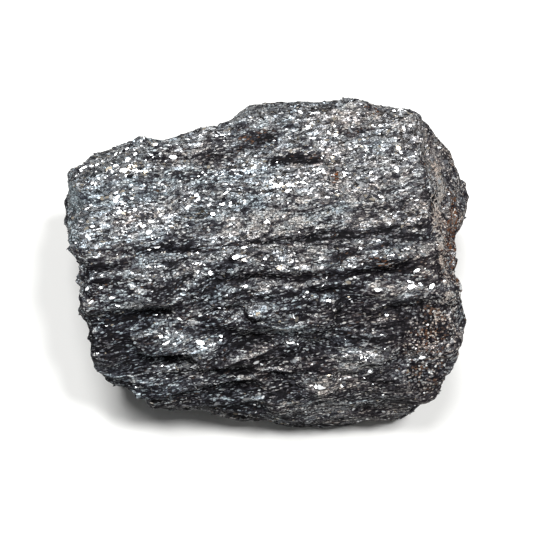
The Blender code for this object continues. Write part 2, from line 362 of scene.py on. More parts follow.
# %% Fine ledges
RIM_WEAR = 0.3  # what is left of the fine relief at the rim
RIM = 0.45  # how far round it fades, as the cosine of the angle between a ray and OUT
PATCH_LENGTHS = (13.0, 7.0, 5.0)
PATCH = 0.6  # how clearly the fine ledges show on average,
PATCH_SWING = 0.5  # how much that changes from place to place,
PATCH_RANGE = (0.0, 1.2)  # and its least and most
FINE_LEDGES = [  # height, sharpness, ripple, lengths over which the level wanders, and how far
    (1.7, 0.6, 0.1, (22.0, 12.0, 26.0), 0.9),
    (0.8, 0.5, 0.05, (12.0, 7.0, 14.0), 0.5),
]
wear = RIM_WEAR + (1 - RIM_WEAR) * np.clip(np.abs(rays @ OUT) / RIM, 0.0, 1.0)
for seed, (step, sharpness, ripple, lengths, wander) in enumerate(FINE_LEDGES, start=20):
    level = skin @ FOLIATION + wander * random_waves(skin, lengths, seed)
    patchy = PATCH + PATCH_SWING * random_waves(skin, PATCH_LENGTHS, seed + 5)
    patchy = wear * np.clip(patchy, *PATCH_RANGE)
    skin = break_in_ledges(skin, level, step, sharpness * patchy, ripple * patchy)
print("with fine ledges in mm:", (skin.max(axis=0) - skin.min(axis=0)).round(1))

# %% [markdown]
# Then scales: the space is filled with flattened grains, each with its own small height and tilt,
# which leaves the surface scaly. Blender's Voronoi texture could do that in a material, but only as
# a bump. Here every point asks which of the 27 cells round it holds the nearest grain, for all
# points at once, and moves with that grain.

# %% Scales
STRIKE = np.cross([0.0, 1.0, 0.0], FOLIATION)  # left to right in the foliation's planes
STRIKE /= np.linalg.norm(STRIKE)
LAYERS = np.array([STRIKE, np.cross(FOLIATION, STRIKE), FOLIATION])
RANDOM_CELLS = 32  # cells along each edge of the block of random numbers, which repeats
SCALES = [((4.2, 2.2, 1.1), 0.22, 0.16), ((1.9, 0.9, 0.5), 0.12, 0.12)]  # size, rise, slant in mm


def nearest_grain(points, size, seed):
    """For each point: its nearest grain's six random numbers, and the way there from its middle.

    size holds a grain's lengths along the strike, along the dip and across the foliation, and
    the way is measured in those lengths.
    """
    random = np.random.default_rng(seed).random((RANDOM_CELLS, RANDOM_CELLS, RANDOM_CELLS, 6))
    place = points @ LAYERS.T / np.array(size)
    cell = np.floor(place).astype(int)
    nearest = np.full(len(points), np.inf)
    found = np.zeros((len(points), 6))
    way = np.zeros((len(points), 3))
    for step in np.ndindex(3, 3, 3):
        other = cell + np.array(step) - 1
        numbers = random[tuple((other % RANDOM_CELLS).T)]
        offset = place - other - numbers[:, :3]
        distance = np.linalg.norm(offset, axis=1)
        closer = distance < nearest
        nearest[closer] = distance[closer]
        found[closer] = numbers[closer]
        way[closer] = offset[closer]
    return found, way


for seed, (size, rise, slant) in enumerate(SCALES, start=30):
    grain, way = nearest_grain(skin, size, seed)
    scale_height = rise * (grain[:, 3] * 2 - 1) + slant * (way[:, 0] * (grain[:, 4] * 2 - 1))
    scale_height += slant * way[:, 1] * (grain[:, 5] * 2 - 1)
    skin = skin + rays * (wear * scale_height)[:, None]
print("with scales in mm:", (skin.max(axis=0) - skin.min(axis=0)).round(1))

# %% [markdown]
# ## The resting face and the mesh
# The underside is cut off flat: a point that would lie below the floor slides back along its own
# ray. Then the skin is fitted into the CAD solid's box, by less than one part in a hundred. Its
# finer grid catches the tips of lumps that a coarse one misses, so it would reach past the solid.

# %% Resting face and fit
below = skin[:, 2] < -HEART_HEIGHT
skin[below] *= (-HEART_HEIGHT / skin[below, 2])[:, None]
skin_low, skin_high = skin.min(axis=0), skin.max(axis=0)
fit = np.minimum((high - low) / (skin_high - skin_low), 1.0)
heart = (low + high) / 2 - fit * (skin_low + skin_high) / 2
heart[2] = -skin_low[2] * fit[2]  # the resting face comes to the floor
skin = skin * fit + heart
skin[below, 2] = 0.0
print("fitted by", fit.round(4), "heart now at", heart.round(2))

# %% [markdown]
# A mesh can be built face by face, but for a hundred thousand squares that is slow. Whole arrays
# of corners and faces go in at once instead.

# %% The stone's mesh
def make_mesh(name, points, faces, smooth=True):
    """A mesh object at the origin from points in mm and rows of corner numbers."""
    mesh = bpy.data.meshes.new(name)
    mesh.vertices.add(len(points))
    mesh.vertices.foreach_set("co", (points * MM).astype(np.float32).ravel())
    mesh.loops.add(faces.size)
    mesh.loops.foreach_set("vertex_index", faces.astype(np.int32).ravel())
    mesh.polygons.add(len(faces))
    mesh.polygons.foreach_set("loop_start", np.arange(0, faces.size, faces.shape[1], dtype=np.int32))
    mesh.polygons.foreach_set("use_smooth", np.full(len(faces), smooth))
    mesh.update(calc_edges=True)
    mesh.validate()
    obj = bpy.data.objects.new(name, mesh)
    bpy.context.scene.collection.objects.link(obj)
    return obj


stone = make_mesh("stone", skin, squares)
print("stone:", len(squares) * 2, "triangles")

# %% [markdown]
# ## Where it glitters or carries painted light and shade, where it is dusty, rusty or pale
# The rock is not the same all over. Plates seen flat on glitter, and plates seen end on are dull grit.
# Raised lumps are painted lighter and hollows darker, as painted light and shade, and there are rust
# spots and pale grains. One texture cannot know such places. So each kind of place is a number stored
# on the mesh's points, and the materials read it by its name. First come the places that are this
# stone's own, as oval bells like the lumps. In the glitter list, a strength above 0 gathers plates and
# makes the rock lighter, and on some lit lips and rims that lighter colour is a painted highlight. A
# strength below 0 is painted shade: in cracks, hollows and under overhangs, and in two wide bands
# over the dimmer middle and front.

# %% The named places
PLACES = {  # right, up, half length and half width in mm, degrees turned, strength
    # Glitter marks: above 0 more plates and a lighter rock, on lit lips and rims a painted highlight; below
    # 0 painted shade in cracks, hollows, under overhangs and over the middle and front bands.
    "shine_and_painted_light": [
        (-21.3, 14.3, 3.2, 2.4, 10.0, 0.9), (-22.0, 9.3, 3.0, 1.6, 0.0, 0.6),
        (-17.0, 6.8, 3.5, 1.6, 5.0, 0.5), (-1.5, 15.2, 2.2, 1.4, 10.0, 0.7),
        (6.3, 14.2, 3.5, 0.9, 5.0, 0.7), (9.5, 19.5, 2.0, 1.6, 30.0, 0.7),
        (-1.0, 22.0, 2.0, 1.0, 0.0, 0.4), (20.5, 16.8, 1.6, 1.2, 0.0, 0.6),
        (14.5, 13.2, 3.0, 1.0, 10.0, 0.5), (-3.5, 2.3, 1.5, 1.0, 0.0, 0.6),
        (7.5, -17.0, 2.6, 1.2, 0.0, 1.0), (1.5, -18.2, 2.5, 1.0, 0.0, -0.6),
        (-9.8, -12.0, 2.6, 1.5, 20.0, 1.1), (13.8, -13.3, 3.2, 1.6, 10.0, 1.2),
        (-14.5, 16.6, 4.2, 0.6, 4.0, -1.0), (-15.0, 18.7, 2.2, 0.5, 5.0, -0.8),
        (-7.0, 17.3, 3.4, 0.5, 6.0, -0.8), (-1.2, 19.2, 2.8, 0.6, 18.0, -0.8),
        (13.0, 20.6, 3.0, 0.35, 5.0, -0.9), (4.2, 16.5, 4.2, 0.6, 3.0, -2.0),
        (24.3, 10.6, 2.6, 0.5, -75.0, -0.9), (12.6, 4.5, 10.0, 1.2, 6.0, -0.5),
        (-3.0, -12.0, 6.0, 3.0, 4.0, -0.4), (13.0, -7.0, 4.0, 3.0, 0.0, -0.4),
        (-28.5, 8.0, 3.0, 9.0, 0.0, 0.7), (24.5, 18.0, 3.0, 4.5, -35.0, 0.6),
        (22.2, 21.2, 2.0, 1.2, -40.0, 0.8), (-26.0, -0.3, 5.0, 0.9, 0.0, -0.5),
        (-12.0, 3.1, 12.0, 0.9, 3.0, -0.4), (-20.5, -3.5, 5.0, 1.0, 4.0, -0.4),
        (-21.0, -5.5, 5.0, 0.9, 4.0, 0.9), (-2.0, -1.9, 11.0, 1.3, 3.0, -0.5),
        (18.2, 4.0, 7.5, 2.2, 5.0, -0.55), (1.5, 0.6, 4.0, 1.0, 5.0, 0.8),
        (5.5, 15.0, 3.5, 0.9, 0.0, 1.1), (-4.5, 4.8, 1.6, 1.3, 0.0, 0.8),
        (14.0, 2.5, 9.0, 0.9, 6.0, -0.4), (17.9, -1.3, 8.5, 1.9, 5.0, -0.95),
        (20.9, -3.2, 6.0, 0.9, 8.0, 0.5), (16.5, -5.0, 5.0, 1.2, 5.0, 0.3),
        (8.5, 2.6, 5.0, 0.8, 3.0, -0.6), (9.5, 0.5, 7.0, 0.7, 4.0, 0.9),
        (-6.0, -6.6, 3.0, 1.2, 3.0, -0.4), (5.0, -5.8, 5.0, 1.4, 0.0, -1.1),
        (21.5, -9.2, 4.5, 1.2, 5.0, -0.4), (-18.5, -8.2, 5.5, 1.3, 6.0, -0.8),
        (-23.4, -11.5, 3.0, 3.0, 0.0, -0.25), (-6.0, -20.4, 4.0, 1.0, -4.0, -0.5),
        (0.0, -1.0, 32.0, 6.0, 3.0, -0.33), (0.0, -14.0, 32.0, 7.0, 3.0, -0.13),
        (-5.0, 17.0, 5.0, 3.0, 8.0, 0.4), (6.0, 15.2, 3.5, 0.8, 3.0, 0.4),
        (-19.5, 16.0, 3.5, 1.5, 10.0, 0.3), (-27.0, 15.2, 2.5, 1.5, 20.0, 0.4),
        (7.5, 9.8, 3.5, 1.6, 5.0, -0.4), (7.5, 20.5, 2.5, 1.5, 0.0, 0.3),
        (-18.5, -2.0, 8.0, 2.6, 4.0, -0.45), (-4.5, -5.7, 1.8, 1.2, 0.0, 0.9),
        (-7.5, -7.8, 2.2, 1.1, 0.0, -0.6), (25.0, -7.9, 1.8, 1.3, 0.0, -0.9),
        (3.0, -8.8, 3.5, 1.5, 4.0, 0.8), (-13.4, -9.9, 1.3, 1.0, 0.0, 0.7),
        (15.5, -9.9, 4.0, 1.2, 5.0, -1.0), (7.5, -14.0, 3.5, 1.0, 5.0, -0.6),
        (9.0, -20.2, 4.0, 1.2, 5.0, 0.8), (-8.5, 4.8, 6.0, 1.0, 3.0, 0.5),
        (4.5, 17.8, 4.0, 0.6, 0.0, 0.5), (11.0, 6.9, 1.8, 1.2, 5.0, 0.8),
        (-28.3, 6.9, 1.5, 2.5, 0.0, 0.6), (-27.0, 3.0, 2.5, 3.0, 0.0, -0.3),
        (-15.5, 17.3, 4.5, 2.2, 5.0, -0.5), (-4.0, -14.2, 2.2, 1.2, 0.0, -0.8),
        (23.5, -15.3, 2.6, 1.8, 0.0, -0.8), (-16.9, -9.9, 1.6, 1.2, 0.0, -0.9),
        (-9.0, 0.6, 4.0, 0.8, 5.0, -1.0), (-19.4, -17.2, 2.5, 1.6, 0.0, -0.3),
    ],
    "dust": [
        (3.1, 7.5, 6.5, 2.2, 4.0, 0.7), (13.0, 23.0, 4.0, 1.6, 0.0, 0.5),
        (-8.0, 7.0, 4.0, 1.5, 4.0, 0.6), (-16.0, 13.3, 3.0, 1.3, 5.0, 0.5),
        (12.5, 9.4, 4.0, 1.8, 5.0, 0.5), (-29.2, 8.5, 4.5, 1.0, 88.0, 0.7),
        (8.5, 1.6, 2.2, 1.2, 0.0, 0.5),
    ],
    "rust": [
        (10.1, 13.8, 0.6, 0.5, 0.0, 3.0), (6.1, 24.6, 2.0, 0.8, 0.0, 0.8),
        (14.5, 15.8, 0.5, 0.4, 0.0, 0.9), (15.8, 23.7, 1.5, 0.6, -10.0, 0.6),
        (20.7, 20.0, 1.2, 0.8, -30.0, 0.6), (-1.5, 20.0, 3.0, 0.9, 5.0, 0.4),
        (16.7, 1.3, 1.9, 0.9, 0.0, 0.5), (23.7, -12.2, 3.2, 2.4, 0.0, 0.2),
        (27.6, 4.9, 6.7, 1.5, 90.0, 0.5),
    ],
    "pale": [
        (25.2, 15.0, 1.5, 0.7, -72.0, 1.2), (25.9, 12.2, 1.6, 0.7, -88.0, 1.2),
        (25.3, 8.2, 2.4, 0.6, 80.0, 1.1), (25.7, 4.5, 1.9, 0.6, -72.0, 1.0),
        (26.3, 0.2, 3.4, 0.55, -80.0, 0.9), (27.0, -4.2, 1.1, 0.8, 70.0, 0.9),
        (25.4, -6.8, 1.0, 0.5, 85.0, 0.7), (-21.4, -6.3, 5.2, 0.3, 10.0, 0.6),
        (-19.8, -10.4, 0.5, 0.8, 0.0, 0.6), (9.3, -21.5, 3.2, 0.35, 8.0, 0.7),
        (3.5, -20.0, 2.2, 0.9, 0.0, 0.6),
    ],
    "grit": [
        (28.4, 7.0, 12.0, 2.6, 90.0, 1.0), (24.0, -11.0, 8.0, 5.4, 80.0, 1.1),
    ],
}
print(", ".join(f"{len(marks)} of {name}" for name, marks in PLACES.items()))

# %% [markdown]
# The bells are only a start. Skin that lies flat to the foliation shows its plates' faces, so it
# glitters, and skin that cuts across their ends is gritty. That flat skin is mostly the tops of
# ledges, so making it lighter is partly painted light as well. Lumps are painted lighter and hollows
# darker, as painted light and shade, and random waves break it all up. The stone's tone grows a
# little warmer to the right, and dust is cooler.

# %% Numbers stored on the mesh
FLAT_ON = (0.45, 1.0)  # cosine of the angle from skin to foliation: from no shine to all of it
END_ON = (0.6, 0.85)  # cosine of the angle from skin to strike: from no grit to all of it
# The first of these makes skin flat to the foliation lighter: partly its glittering plate faces, and partly
# painted light, as such skin is mostly the upward tops of ledges against their steep fronts. The second
# paints lumps lighter and hollows darker by their height, as painted light and shade.
FLAT_SHINE_AND_PAINTED_LIGHT = 2.0
LUMP_PAINTED_LIGHT = 0.25  # for each mm of height
SHINE_SWING = 0.2  # of the random waves
SHINE_LENGTHS = (9.0, 5.0, 3.0)  # mm
WARMTH_START = 0.2
WARMTH_SPAN = 110.0  # mm to the right for each 1 of warmth
WARMTH_SWING = 0.15
WARMTH_LENGTHS = (14.0, 9.0, 8.0)  # mm
DUST_COOLING = 0.2


def ramp(values, start, end):
    """0 up to start, 1 from end on, straight between."""
    return np.clip((values - start) / (end - start), 0.0, 1.0)


def store(obj, name, values):
    """Keeps one number for each of the mesh's points under that name."""
    attribute = obj.data.attributes.new(name, "FLOAT", "POINT")
    attribute.data.foreach_set("value", values.astype(np.float32))


normals = np.empty(len(skin) * 3)
stone.data.vertices.foreach_get("normal", normals)
normals = normals.reshape(-1, 3)
flat_on = ramp(np.abs(normals @ FOLIATION), *FLAT_ON)
end_on = ramp(np.abs(normals @ STRIKE), *END_ON)
place_on = {name: bells(skin - heart, marks) for name, marks in PLACES.items()}
# Painted light and shade: lighter on flat-on skin and on lumps, darker in hollows and cracks.
place_on["shine_and_painted_light"] += FLAT_SHINE_AND_PAINTED_LIGHT * flat_on**4 + LUMP_PAINTED_LIGHT * bells(skin - heart, RELIEF.values())
place_on["shine_and_painted_light"] += SHINE_SWING * random_waves(skin, SHINE_LENGTHS, seed=41)
place_on["grit"] = np.maximum(place_on["grit"], end_on)
place_on["warmth"] = WARMTH_START + skin[:, 0] / WARMTH_SPAN
place_on["warmth"] += WARMTH_SWING * random_waves(skin, WARMTH_LENGTHS, seed=42)
place_on["warmth"] -= DUST_COOLING * place_on["dust"]
for name, values in place_on.items():
    store(stone, name, values)
    print(name, "from", values.min().round(2), "to", values.max().round(2))

# %% [markdown]
# ## Helpers for materials
# Colours are written as the sRGB hex codes that a colour picker shows, and Blender's sockets want
# linear values, so one function turns them. One more function adds a node, sets it and links it.
# Much of this rock's look comes from sums of many things, so a third one adds those up.

# %% Colours and nodes
def linear(code):
    """An sRGB hex colour as linear red, green, blue and alpha 1."""
    parts = np.array([int(code[i : i + 2], 16) / 255 for i in (1, 3, 5)])
    parts = np.where(parts <= 0.04045, parts / 12.92, ((parts + 0.055) / 1.055) ** 2.4)
    return (*parts, 1.0)


def add(tree, kind, inputs=None, **settings):
    """Adds a node of that kind and gives it back.

    An input is a value, a socket, or a node, of which the first output in use is linked.
    """
    node = tree.nodes.new(kind)
    for name, value in settings.items():
        setattr(node, name, value)
    sockets = {socket.identifier: socket for socket in node.inputs}
    sockets |= {socket.name: socket for socket in node.inputs if socket.enabled}
    sockets |= dict(enumerate(node.inputs))
    for name, value in (inputs or {}).items():
        if isinstance(value, bpy.types.Node):
            value = next(output for output in value.outputs if output.enabled)
        if isinstance(value, bpy.types.NodeSocket):
            tree.links.new(value, sockets[name])
        else:
            sockets[name].default_value = value
    return node


def weighted_sum(tree, *terms):
    """value * weight + value * weight + ..., as a chain of multiply-add nodes.

    Both parts of a term may be numbers, sockets or nodes.
    """
    result = 0.0
    for value, weight in terms:
        result = add(tree, "ShaderNodeMath", {0: value, 1: weight, 2: result}, operation="MULTIPLY_ADD")
    return result


print("grey card #777777 is", round(float(linear("#777777")[0]), 3), "linear")

# %% [markdown]
# ## The rock's own material
# The rock is foliated micaceous hematite, freshly broken and never polished. An image wrapped
# round it would stretch on the ledges and end at a seam. So every pattern is worked out in space
# from the point's own place, and its sizes are those of real grains, in mm.

# %% Start of the rock's material
hematite = bpy.data.materials.new("foliated_micaceous_hematite")
hematite.use_nodes = True
tree = hematite.node_tree
tree.nodes.clear()
place = add(tree, "ShaderNodeTexCoord").outputs["Object"]
at = {name: add(tree, "ShaderNodeAttribute", attribute_name=name).outputs["Fac"] for name in place_on}
print("material reads", ", ".join(at))

# %% [markdown]
# ## The pattern of flakes
# Crushed between its layers, the rock is made of flat grains in three sizes. A Voronoi texture fills
# space with cells, and cells squeezed across the foliation are such grains. Each cell has a random
# colour, whose three channels serve as three random numbers for that grain. A noise bends the space
# first, so that no grain is straight-edged. The real grains go down to 0.1 mm, which is under a
# pixel, so the finest series is drawn at 0.3 mm, as coarse as it needs to be to show.

# %% Grains and gaps
LAYER_TURN = Matrix(LAYERS.T.tolist()).to_euler()
LAYERED = {  # mm along the strike, along the dip and across the foliation
    "coarse": (1.2, 0.6, 0.28),
    "fine": (0.5, 0.3, 0.15),
    "gritty": (0.32, 0.3, 0.28),
    "streaks": (3.0, 1.2, 0.5),
    "cracks": (2.6, 1.5, 0.55),
}
BEND = {"coarse": 0.8, "fine": 0.5, "gritty": 0.3}  # in lengths of the grain
in_layers = {
    name: add(tree, "ShaderNodeMapping", {
        "Vector": place,
        "Rotation": LAYER_TURN,
        "Scale": [length * MM for length in size],
    }, vector_type="TEXTURE")
    for name, size in LAYERED.items()
}
random_of = {}
gap_of = {}  # 0 in the gap between two grains, 1 on a grain
for name, bend in BEND.items():
    noise = add(tree, "ShaderNodeTexNoise", {"Vector": in_layers[name], "Scale": 1.1, "Detail": 2.0})
    bent = add(tree, "ShaderNodeVectorMath", {
        0: noise.outputs["Color"],
        1: (bend, bend, bend),
        2: in_layers[name],
    }, operation="MULTIPLY_ADD")
    cells = add(tree, "ShaderNodeTexVoronoi", {"Vector": bent, "Scale": 1.0})
    random_of[name] = cells.outputs["Color"]
    edge = add(tree, "ShaderNodeTexVoronoi", {"Vector": bent, "Scale": 1.0}, feature="DISTANCE_TO_EDGE")
    gap_of[name] = add(tree, "ShaderNodeMapRange", {"Value": edge, "From Min": 0.01, "From Max": 0.16})
print("grain series:", ", ".join(BEND))

# %% [markdown]
# No layer is quite like the next. Noise stretched along the foliation makes streaks 3 mm long, and
# a round one makes clouds of 6 mm. Hairline cracks run along the layers too. They could be drawn
# one by one, but a third noise gives them all: it is black where that noise is within a hair of its
# middle value, which makes long winding lines.

# %% Streaks, clouds and cracks
CLOUD = 6.0  # mm
streaks = add(tree, "ShaderNodeTexNoise", {
    "Vector": in_layers["streaks"],
    "Scale": 1.0,
    "Detail": 4.0,
    "Roughness": 0.65,
})
clouds = add(tree, "ShaderNodeTexNoise", {"Vector": place, "Scale": 1 / (CLOUD * MM), "Detail": 3.0})
hairlines = add(tree, "ShaderNodeTexNoise", {"Vector": in_layers["cracks"], "Scale": 1.0, "Detail": 3.0})
off_middle = add(tree, "ShaderNodeMath", {0: hairlines, 1: 0.5}, operation="SUBTRACT")
off_middle = add(tree, "ShaderNodeMath", {0: off_middle}, operation="ABSOLUTE")
off_crack = add(tree, "ShaderNodeMapRange", {
    "Value": off_middle,
    "From Min": 0.002,
    "From Max": 0.014,
})
print("streaks of", LAYERED["streaks"][0], "mm and clouds of", CLOUD, "mm")

# %% [markdown]
# Where the place is gritty, round grains take over from the flat fine ones. Two materials would
# meet at a line, and a mix by the stored number has none.

# %% Fine or gritty grains
small = add(tree, "ShaderNodeMix", {
    "Factor_Float": at["grit"],
    "A_Color": random_of["fine"],
    "B_Color": random_of["gritty"],
}, data_type="RGBA")
small_gap = add(tree, "ShaderNodeMix", {
    "Factor_Float": at["grit"],
    "A_Float": gap_of["fine"],
    "B_Float": gap_of["gritty"],
})
coarse = add(tree, "ShaderNodeSeparateColor", {"Color": random_of["coarse"]}).outputs
fine = add(tree, "ShaderNodeSeparateColor", {"Color": small}).outputs
print("three random numbers for each coarse and each small grain")

# %% [markdown]
# ## The dull matrix
# Between the plates lies crushed hematite with some chlorite and clay: black where bare, grey where
# dusty. It could be one random grey for each grain, but then it would look like static. So one sum
# says how light a spot is, and counts all that makes rock lighter: its small and its large grain, the
# streak and the cloud it lies in, and the stored glitter, dust and painted light of the place. That
# painted part makes lumps and ledge tops lighter, and cracks, hollows and the front band darker, as
# painted light and shade. The small grain's number is squared, for many dark grains and few light
# ones, and it counts for more in grit, and for less in dust and in the glittering places. A colour
# ramp turns the sum to black, greys and white.

# %% Black to dusty grey
few_light = add(tree, "ShaderNodeMath", {0: fine[0], 1: 2.0}, operation="POWER")
contrast = weighted_sum(tree, (1.0, 1.25), (at["grit"], 0.6), (at["shine_and_painted_light"], -0.45), (at["dust"], -0.45))
# The stored glitter number brings painted light and shade in here: lumps, ledge tops and lit lips lighter,
# cracks, hollows, overhangs and the front band darker.
light = weighted_sum(
    tree, (few_light, contrast), (coarse[0], 0.45), (streaks, 0.9), (clouds, 0.4),
    (at["shine_and_painted_light"], 0.8), (at["dust"], 0.42), (at["grit"], -0.02),
)
light = add(tree, "ShaderNodeMapRange", {"Value": light, "From Min": 0.62, "From Max": 2.19})
greys = add(tree, "ShaderNodeValToRGB", {"Fac": light})
stops = greys.color_ramp.elements
for position, code in [(0.16, "#1a181e"), (0.41, "#38373c"), (0.605, "#67676b"), (0.83, "#9da1a1")]:
    stops.new(position).color = linear(code)
stops[0].color = linear("#08070b")
stops[-1].color = linear("#d2d4d2")
print("greys:", len(stops), "stops")

# %% [markdown]
# Rust and quartz come in whole grains, so each is laid over the greys where a second sum passes a
# limit. Rust is brown, and more orange where the place has much of it. Quartz is a pale grey, and
# the "pale" marks gather it into a ridge near the right end.

# %% Rust and quartz
rust = add(tree, "ShaderNodeMix", {
    "Factor_Float": at["rust"],
    "A_Color": linear("#5a4536"),
    "B_Color": linear("#80512f"),
}, data_type="RGBA")
rusty = weighted_sum(
    tree, (fine[1], 1.0), (streaks, 0.8), (clouds, 0.3), (at["rust"], 0.6), (at["grit"], 0.16),
)
rusty = add(tree, "ShaderNodeMapRange", {"Value": rusty, "From Min": 1.5, "From Max": 1.7})
rusted = add(tree, "ShaderNodeMix", {
    "Factor_Float": rusty,
    "A_Color": greys,
    "B_Color": rust,
}, data_type="RGBA")
quartz = weighted_sum(tree, (fine[1], -1.0), (coarse[1], 0.4), (at["pale"], 0.8), (at["grit"], 0.3))
quartz = add(tree, "ShaderNodeMapRange", {"Value": quartz, "From Min": 0.4, "From Max": 0.5})
matrix = add(tree, "ShaderNodeMix", {
    "Factor_Float": quartz,
    "A_Color": rusted,
    "B_Color": linear("#b3b0ab"),
}, data_type="RGBA")
print("matrix: black, greys, rust and quartz")

# %% [markdown]
# ## The plates in the skin
# Hematite's cleaved plates are metallic and steel grey. Those too small to be modelled are drawn
# here. If every grain had the same chance they would look like glitter, and on the rock they lie
# in clusters. So a grain is a plate where its own third number and a sum of the streak, the cloud
# and the place pass a limit together. Dust and quartz hide plates, so they count against.

# %% Which grains are plates
COARSE_LIMIT = (2.06, 2.12)  # from no plate to a whole one
FINE_LIMIT = (1.98, 2.04)
# The glitter number also carries the painted shade, so cracks, hollows and the dim front band get fewer
# plates here and look darker.
cluster = weighted_sum(
    tree, (streaks, 1.5), (clouds, 0.8), (at["shine_and_painted_light"], 0.5), (at["grit"], 0.4), (quartz, -0.5),
    (at["dust"], -0.35),
)
plates = []
for own_number, (start, end) in ((coarse[2], COARSE_LIMIT), (fine[2], FINE_LIMIT)):
    chance = weighted_sum(tree, (own_number, 0.5), (cluster, 1.0))
    plates.append(add(tree, "ShaderNodeMapRange", {"Value": chance, "From Min": start, "From Max": end}))
coarse_plate, fine_plate = plates
plate = add(tree, "ShaderNodeMath", {0: coarse_plate, 1: fine_plate}, operation="MAXIMUM")
own_numbers = add(tree, "ShaderNodeMix", {
    "Factor_Float": coarse_plate,
    "A_Color": small,
    "B_Color": random_of["coarse"],
}, data_type="RGBA")
print("limits of coarse and fine plates:", COARSE_LIMIT, FINE_LIMIT)

# %% [markdown]
# Each plate has its own tilt, which makes one catch the light while its neighbour stays dark. A
# bump texture would round them off, and a plate is flat right to its edge. So the normal itself is
# moved. It is pulled towards the way that most plates face, up and a little to the front, then
# pushed by the grain's three random numbers, and by the streaks, which tilt whole packets.

# %% Tilt of each plate
PLATE_WAY = facing(-100.0, 80.0)
GRAIN_TILT = 1.0
PACKET_TILT = 1.1
normal = add(tree, "ShaderNodeNewGeometry").outputs["Normal"]
towards = add(tree, "ShaderNodeVectorMath", {0: normal, 1: PLATE_WAY}, operation="DOT_PRODUCT")
pull = add(tree, "ShaderNodeVectorMath", {0: PLATE_WAY, "Scale": towards}, operation="SCALE")
tilted = add(tree, "ShaderNodeVectorMath", {0: pull, 1: normal}, operation="ADD")
for numbers, strength in ((own_numbers, GRAIN_TILT), (streaks.outputs["Color"], PACKET_TILT)):
    push = add(tree, "ShaderNodeVectorMath", {0: numbers, 1: (0.5, 0.5, 0.5)}, operation="SUBTRACT")
    tilted = add(tree, "ShaderNodeVectorMath", {
        0: push,
        1: (strength, strength, strength),
        2: tilted,
    }, operation="MULTIPLY_ADD")
tilted = add(tree, "ShaderNodeVectorMath", {0: tilted}, operation="NORMALIZE")
print("most plates face", PLATE_WAY.round(2))

# %% [markdown]
# Last, the colours come together: matrix or steel, a little cooler or warmer as the place is, and
# nearly black in the gaps between small grains and in the hairline cracks. Steel is darker or
# lighter from grain to grain, because no two plates are equally clean.

# %% Colour and finish of the rock
ROCK_GLOSS = 0.1  # the Specular IOR Level, where 0.5 is a smooth surface's full gloss
skin_steel = add(tree, "ShaderNodeMix", {
    "Factor_Float": fine[0],
    "A_Color": linear("#5d5f62"),
    "B_Color": linear("#c0c1c2"),
}, data_type="RGBA")
skin_colour = add(tree, "ShaderNodeMix", {
    "Factor_Float": plate,
    "A_Color": matrix,
    "B_Color": skin_steel,
}, data_type="RGBA")
tone = add(tree, "ShaderNodeMix", {
    "Factor_Float": weighted_sum(tree, (coarse[1], 0.5), (at["warmth"], 1.0)),
    "A_Color": linear("#e4f1fa"),
    "B_Color": linear("#fdede4"),
}, data_type="RGBA")
skin_colour = add(tree, "ShaderNodeMix", {
    "Factor_Float": 1.0,
    "A_Color": skin_colour,
    "B_Color": tone,
}, data_type="RGBA", blend_type="MULTIPLY")
skin_colour = add(tree, "ShaderNodeMix", {
    "Factor_Float": add(tree, "ShaderNodeMath", {0: small_gap, 1: off_crack}, operation="MULTIPLY"),
    "A_Color": linear("#060508"),
    "B_Color": skin_colour,
}, data_type="RGBA")
# A cleaved plate is a metal and keeps the default IOR. Roughness 0.42 spreads its flash, so many
# plates glint softly and few are blinding. Crushed rock is no metal, and its edges and pores give
# a rough, dull face, 0.65, with a fifth of a smooth surface's gloss.
surface = add(tree, "ShaderNodeBsdfPrincipled", {
    "Base Color": skin_colour,
    "Metallic": plate,
    "Roughness": add(tree, "ShaderNodeMapRange", {"Value": plate, "To Min": 0.65, "To Max": 0.42}),
    "Specular IOR Level": ROCK_GLOSS,
    "Normal": tilted,
})
add(tree, "ShaderNodeOutputMaterial", {"Surface": surface})
stone.data.materials.append(hematite)
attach(stone, "root")
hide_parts("hematite_stone")
print("foliated_micaceous_hematite:", len(tree.nodes), "nodes")

# %% [markdown]
# ## Plates that stand proud
# Seen close, the rock is a heap of tiny six-sided plates, each with its own tilt. They could be
# painted on, but then no plate would cast a shadow on the next one, and a tilted plate would not
# break the outline. So the larger ones are real: thin six-sided prisms, ten quads each, worked out
# as one array of shape (plates, corners, 3) and joined into a few meshes.

# %% One plate's shape
HEXAGON = np.radians([0, 60, 120, 180, 240, 300])
PLATE_CORNERS = 2 * len(HEXAGON)
PRISM = [  # corners 0 to 5 are on the outer face, and 6 to 11 under them
    (0, 1, 2, 3), (0, 3, 4, 5), (9, 8, 7, 6), (11, 10, 9, 6),
    *((side, side + 6, (side + 1) % 6 + 6, (side + 1) % 6) for side in range(6)),
]
CORNER_REACH = (0.7, 1.1)  # least and most, in parts of a regular hexagon's
PLATE_THICKNESS = 0.05  # mm


def unit_rows(vectors):
    """Each row divided by its own length."""
    return vectors / np.linalg.norm(vectors, axis=1)[:, None]


def places_on_skin(weights, count, random):
    """Random spots on random squares, which are drawn by their area times their weight."""
    a, b, c, d = (skin[squares[:, k]] for k in range(4))
    across = np.cross(c - a, d - b)
    chance = np.linalg.norm(across, axis=1) * weights
    drawn = random.choice(len(squares), count, p=chance / chance.sum())
    u, v = random.random((2, count, 1))
    spot = (1 - u) * ((1 - v) * a[drawn] + v * d[drawn]) + u * ((1 - v) * b[drawn] + v * c[drawn])
    return spot, unit_rows(across[drawn])


